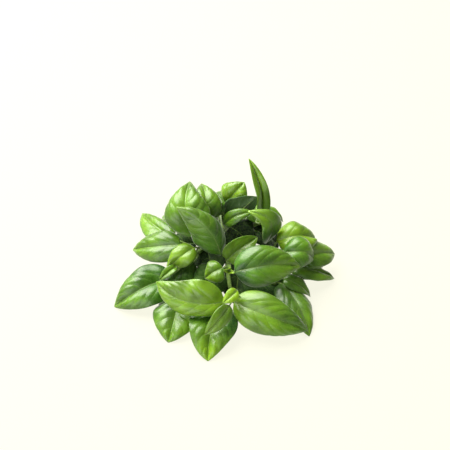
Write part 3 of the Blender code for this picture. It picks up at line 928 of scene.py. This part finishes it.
# %% Furrows and grain as bump, and the gloss
furrow = add(
    blade_tree,
    "ShaderNodeMapRange",
    {0: beside_vein, 1: 0.0, 2: 0.12, 3: 1.0, 4: 0.0},
    interpolation_type="SMOOTHSTEP",
).outputs[0]
furrow = add(blade_tree, "ShaderNodeMath", {0: furrow, 1: vein_fade}, operation="MULTIPLY").outputs[0]
furrow = add(blade_tree, "ShaderNodeMath", {0: furrow, 1: rib_line}, operation="MAXIMUM").outputs[0]
depth = add(
    blade_tree, "ShaderNodeMath", {0: net_line, 1: 0.25, 2: furrow}, operation="MULTIPLY_ADD"
).outputs[0]
depth = add(blade_tree, "ShaderNodeMath", {0: grain, 1: 0.12, 2: depth}, operation="MULTIPLY_ADD").outputs[0]
height = add(blade_tree, "ShaderNodeMath", {0: depth, 1: -1.0}, operation="MULTIPLY").outputs[0]
bumped = add(
    blade_tree, "ShaderNodeBump", {"Height": height, "Strength": 0.45, "Distance": 0.4 * MM}
).outputs[0]
gloss = add(blade_tree, "ShaderNodeMapRange", {0: grain, 1: 0.3, 2: 0.7, 3: GLOSS[0], 4: GLOSS[1]}).outputs[0]
gloss = add(
    blade_tree, "ShaderNodeMapRange", {0: youth, 1: -0.6, 2: 0.0, 3: OLD_ROUGHNESS, 4: gloss}
).outputs[0]
roughness = add(
    blade_tree, "ShaderNodeMapRange", {0: upper_side, 1: 0.0, 2: 1.0, 3: UNDERSIDE_ROUGHNESS, 4: gloss}
).outputs[0]
wax = add(blade_tree, "ShaderNodeMapRange", {0: youth, 1: -0.4, 2: 0.1, 3: 0.0, 4: WAX}).outputs[0]
print("upper side roughness", GLOSS, "under a wax coat of", WAX)

# %% The finished leaf skin
skin = add(
    blade_tree,
    "ShaderNodeBsdfPrincipled",
    {
        "Base Color": leaf_colour,
        "Roughness": roughness,
        "Normal": bumped,
        "IOR": LEAF_IOR,
        "Specular IOR Level": 0.25,
        "Sheen Weight": 0.30,
        "Sheen Roughness": 0.30,
        "Coat Weight": wax,
        "Coat Roughness": 0.30,
        "Subsurface Weight": 0.25,
        "Subsurface Radius": (0.5, 1.0, 0.15),
        "Subsurface Scale": 0.9 * MM,
    },
)
add(blade_tree, "ShaderNodeOutputMaterial", {"Surface": skin.outputs[0]})
print("fresh_basil_blade has", len(blade_tree.nodes), "nodes")

# %% [markdown]
# ## Green stem
#
# Stems and stalks are the same tissue with less green in it: pale, with soft blotches of a darker
# green. Their skin is smooth and has no coat of wax here. The ribs are the four corners of the stem,
# and those are modelled. The cut ends show the pith, pale and full of pores. Real pores are about
# 0.2 mm wide and are drawn coarser, so that they show.

# %% Green stem
BLOTCH_MM = 3.0
stem_material, stem_tree = empty_material("ribbed_green_stem")
stem_place = add(stem_tree, "ShaderNodeTexCoord").outputs["Object"]
blotches = add(
    stem_tree, "ShaderNodeTexNoise", {"Vector": stem_place, "Scale": 1 / (BLOTCH_MM * MM), "Detail": 3.0}
).outputs[0]
paler = add(stem_tree, "ShaderNodeMapRange", {0: blotches, 1: 0.35, 2: 0.65}).outputs[0]
stem_colour = add(
    stem_tree, "ShaderNodeMix", {0: paler, 6: linear("#56702E"), 7: linear("#7C984A")}, data_type="RGBA"
).outputs[2]
stem_bump = add(
    stem_tree, "ShaderNodeBump", {"Height": blotches, "Strength": 0.3, "Distance": 0.2 * MM}
).outputs[0]
stem_skin = add(
    stem_tree,
    "ShaderNodeBsdfPrincipled",
    {
        "Base Color": stem_colour,
        "Roughness": 0.45,
        "Normal": stem_bump,
        "IOR": LEAF_IOR,
        "Subsurface Weight": 0.2,
        "Subsurface Radius": (0.6, 1.0, 0.2),
        "Subsurface Scale": 1.0 * MM,
    },
)
add(stem_tree, "ShaderNodeOutputMaterial", {"Surface": stem_skin.outputs[0]})
print(stem_material.name, "has", len(stem_tree.nodes), "nodes")

# %% Cut pith
PORE_MM = 0.6
pith_material, pith_tree = empty_material("cut_pith")
pith_place = add(pith_tree, "ShaderNodeTexCoord").outputs["Object"]
pores = add(
    pith_tree, "ShaderNodeTexVoronoi", {"Vector": pith_place, "Scale": 1 / (PORE_MM * MM)}
).outputs["Distance"]
pith_colour = add(
    pith_tree, "ShaderNodeMix", {0: pores, 6: linear("#D3DDB0"), 7: linear("#B3C685")}, data_type="RGBA"
).outputs[2]
pith_skin = add(
    pith_tree, "ShaderNodeBsdfPrincipled", {"Base Color": pith_colour, "Roughness": 0.6, "IOR": LEAF_IOR}
)
add(pith_tree, "ShaderNodeOutputMaterial", {"Surface": pith_skin.outputs[0]})
print(pith_material.name, "has", len(pith_tree.nodes), "nodes")

# %% [markdown]
# ## Which leaves are young, and where shade is painted
#
# Young basil leaves are a bright yellow green, and they darken as they grow. The photograph mixes
# both, and many leaves are darker at the stalk than at the tip, partly in their own colour and partly
# as painted shade where other leaves cover them. So each leaf gets two numbers, its youth at the
# stalk and at the tip: 1 is the brightest, 0 is full-grown, and below 0 is painted shade, a near-black
# green for the leaves deep inside the bunch and for shaded stalk ends. Leaves that aren't named are
# in between.

# %% Youth of each leaf, at the stalk and at the tip, with painted shade below zero
USUAL_YOUTH = (0.15, 0.35)
# Values below zero are painted shade: the inner leaves, and the stalk ends of leaves that lie under others.
YOUTH_AND_SHADE = {
    "upper_left_front": (-0.10, 0.40), "upper_left_back": (0.10, 0.35), "upper_left_far": (0.10, 0.40),
    "upper_left_side": (0.0, 0.2), "left_back": (0.15, 0.45), "left_mid": (0.15, 0.35),
    "left_low": (-0.15, 0.35), "left_small": (0.45, 0.75), "left_narrow": (0.20, 0.40),
    "front_left_big": (0.55, 0.45), "front_left_low": (0.05, 0.40), "front_left_fold": (0.10, 0.30),
    "front": (-0.45, 0.80), "front_small": (0.35, 0.60), "centre_lime": (0.9, 1.0),
    "right_low": (0.55, 0.10), "right_low_back": (0.05, 0.35), "right_low_far": (0.10, 0.35),
    "right_big": (-0.10, 0.45), "right_upper": (0.0, 0.30), "right_top": (0.65, 0.45),
    "right_drape": (0.10, 0.25), "far_right": (0.10, 0.55), "top_bright": (0.60, 0.50),
    "top_dark": (-0.2, 0.0), "arch_strip": (0.10, 0.30), "arch_over": (-0.20, 0.70),
    "spike": (0.20, 0.60), "centre_cup": (0.45, 0.35), "centre_small": (0.20, 0.70),
    "left_inner": (-0.6, -0.1), "left_deep": (-0.9, -0.5), "left_under": (-0.9, -0.7),
    "left_of_centre_deep": (-0.8, -0.3), "middle_under": (-0.9, -0.7), "right_inner": (-0.6, -0.2),
    "under_arch_left": (-0.9, -0.9), "under_arch_right": (-0.9, -0.9), "under_arch_low": (-0.9, -0.9),
}
print(len(YOUTH_AND_SHADE), "leaves have their own youth")

# %% [markdown]
# ## Making the leaves
#
# Each leaf becomes one object: blade, stalk and rib. It rides on the bunch's only body and stands
# for the solid of the stem it grew on, which is hidden.


# %% Storing a value on every point of a leaf
def store(mesh, name, above, below):
    """Stores numbers or vectors on the points of the upper and under face, and zeros on the stalk's."""
    kind, field, size = ("FLOAT_VECTOR", "vector", 3) if above.ndim == 3 else ("FLOAT", "value", 1)
    faces = np.concatenate((above.ravel(), below.ravel()))
    whole = np.zeros(len(mesh.vertices) * size, np.float32)
    whole[: len(faces)] = faces
    mesh.attributes.new(name, kind, "POINT").data.foreach_set(field, whole)


print("a leaf stores its vein count, its place across, its youth, its side and its millimetres")

# %% Building one leaf
PATTERN_GAP = 40.0


def make_leaf(lf, stem, number):
    """The leaf's object. Its number keeps its patches of green from being another leaf's."""
    upper, under, us, vs = blade_faces(lf)
    skins, rim = sheet_faces(*upper.shape[:2])
    stalk_points, stalk_sides, stalk_caps = stalk_and_rib(lf, stem, under, us)
    first = 2 * len(us) * len(vs)
    stalk = [tuple(first + k for k in face) for face in stalk_sides + stalk_caps]
    points = np.concatenate((upper.reshape(-1, 3), under.reshape(-1, 3), stalk_points))
    mesh = bpy.data.meshes.new(lf.name)
    mesh.from_pydata((points * MM).tolist(), [], [*skins.tolist(), *rim.tolist(), *stalk])
    mesh.materials.append(blade_material)
    mesh.materials.append(stem_material)
    finish = np.concatenate((np.zeros(len(skins) + len(rim)), np.ones(len(stalk))))
    smooth = np.ones(len(finish), bool)
    smooth[len(skins) : len(skins) + len(rim)] = False
    mesh.polygons.foreach_set("material_index", finish.astype(np.int32))
    mesh.polygons.foreach_set("use_smooth", smooth)

    u, v = np.meshgrid(us, vs, indexing="ij")
    veins = vein_count(lf, u, v)
    # Youth runs from stalk to tip. Values below zero are painted shade.
    at_stalk, at_tip = YOUTH_AND_SHADE.get(lf.name, USUAL_YOUTH)
    young = at_stalk + (at_tip - at_stalk) * u
    gap = np.full_like(u, PATTERN_GAP * number)
    where = np.stack((u * math.dist(lf.foot, lf.tip), v * half_width(lf, u), gap), -1)
    store(mesh, "vein_count", veins, veins)
    store(mesh, "across", v, v)
    store(mesh, "youth", young, young)
    store(mesh, "upper_side", np.ones_like(u), np.zeros_like(u))
    store(mesh, "leaf_mm", where, where)
    return bpy.data.objects.new(lf.name, mesh)


print("the patterns of two leaves are", PATTERN_GAP, "mm apart")


# %% Putting the leaves in place
def put_in_place(piece, stem):
    """Adds the piece to the scene, on the bunch's body and for this stem's solid."""
    bpy.context.scene.collection.objects.link(piece)
    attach(piece, "root")
    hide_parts(stem.name)


number = 0
for stem in STEMS:
    for lf in stem.leaves:
        number += 1
        put_in_place(make_leaf(lf, stem, number), stem)
print(number, "leaves made")

# %% [markdown]
# ## Buds at the growing tips
#
# A stem ends in a bud of small leaves that haven't opened yet, two crossed pairs that cup round each
# other. Buds are too small for the solids. They are made the same way as leaves, but only at the
# tips that have room for one, because other leaves have grown against the rest.


# %% The leaves of one bud
def bud_leaves(stem):
    """Two crossed pairs of small cupped leaves round the end of the stem."""
    end = np.array(stem.route[-1], float)
    ahead = unit(end - along_route(stem.route, 0.94))
    side = unit(np.cross(ahead, (0.2, 0.1, 1.0)))
    other = np.cross(side, ahead)
    found = []
    for k, (out, length) in enumerate(((side, 9.0), (-side, 8.0), (other, 6.0), (-other, 5.0))):
        name = f"{stem.name}_bud_{k + 1}"
        foot = end + ahead * 1.2 + out * 1.0
        tip = foot + unit(ahead + out * 0.55) * length
        found.append(leaf(name, 1.0, foot, tip, 0.6 * length, 0.5 * ahead - out, 0.8, 20, -25))
    return found


print("the first bud's longest leaf:", [round(float(c)) for c in bud_leaves(STEMS[0])[0].tip])

# %% Which buds have room
BUD_ROOM = 1.4
BUD_YOUTH = (0.8, 1.0)


def rested_tree(lf):
    return tree_of(coarse_grid(lf) + moves[lf.name], grid_triangles(coarse_rows(lf), COARSE_COLUMNS))


blades = [rested_tree(lf) for lf in LEAVES]
BUDS = []
for stem in STEMS:
    for lf in bud_leaves(stem):
        grid = blade_surface(lf, np.linspace(0, 1, 9), np.linspace(-1, 1, 5))
        points = [Vector(p) for p in grid.reshape(-1, 3)]
        if all(tree.find_nearest(p, BUD_ROOM)[0] is None for tree in blades for p in points):
            BUDS.append((stem, lf))
            moves[lf.name] = np.zeros_like(coarse_grid(lf))
            YOUTH_AND_SHADE[lf.name] = BUD_YOUTH
print(len(BUDS), "bud leaves have room:", sorted({stem.name for stem, _ in BUDS}))

# %% Putting the buds in place
for stem, lf in BUDS:
    number += 1
    put_in_place(make_leaf(lf, stem, number), stem)
print(len(BUDS), "bud leaves made")

# %% [markdown]
# ## Making the stems
#
# Basil belongs to the mint family, whose stems are square with rounded corners. They thicken a
# little where leaves leave them, thin out towards the growing tip, and end at a clean pale cut.


# %% Cross-section of a stem
def square_ring(side, points=24):
    """A square with soft corners and nearly flat sides."""
    turns = 2 * math.pi * (np.arange(points) + 0.5) / points
    radius = (np.abs(np.cos(turns)) ** 4.5 + np.abs(np.sin(turns)) ** 4.5) ** (-1 / 4.5)
    return np.stack((radius * np.cos(turns), radius * np.sin(turns)), -1) * side / 2


print("a stem is", STEM_SIDE, "mm wide, in rings of", len(square_ring(STEM_SIDE)), "points")

# %% Building one stem
STEM_STEPS = 70


def make_stem(stem):
    line = [np.maximum(p, (-1e9, -1e9, STEM_SIDE / 2)) for p in spline(stem.route, STEM_STEPS)]
    joints = [along_route(stem.route, lf.at) for lf in stem.leaves]
    rings = []
    for i, p in enumerate(line):
        taper = 1 - 0.4 * max(0.0, (i / STEM_STEPS - 0.35) / 0.65)
        swell = max(math.exp(-((np.linalg.norm(p - joint) / 3.0) ** 2)) for joint in joints)
        rings.append(square_ring(STEM_SIDE * taper * (1 + 0.10 * swell * (p[2] > 3))))
    tip = line[-1] - line[-2]
    for share in (0.9, 0.7, 0.4):
        line.append(line[-1] + unit(tip) * 0.5)
        rings.append(rings[STEM_STEPS] * share)
    points, sides, caps = tube_shape(line, rings)
    mesh = bpy.data.meshes.new(stem.name + "_stem")
    mesh.from_pydata((points * MM).tolist(), [], sides + caps)
    mesh.materials.append(stem_material)
    mesh.materials.append(pith_material)
    for polygon in mesh.polygons:
        polygon.use_smooth = polygon.index < len(sides)
    mesh.polygons[len(sides)].material_index = 1
    return bpy.data.objects.new(stem.name + "_stem", mesh)


print("a stem has", STEM_STEPS + 4, "rings")

# %% Putting the stems in place
for stem in STEMS:
    put_in_place(make_stem(stem), stem)
print(len(STEMS), "stems made")
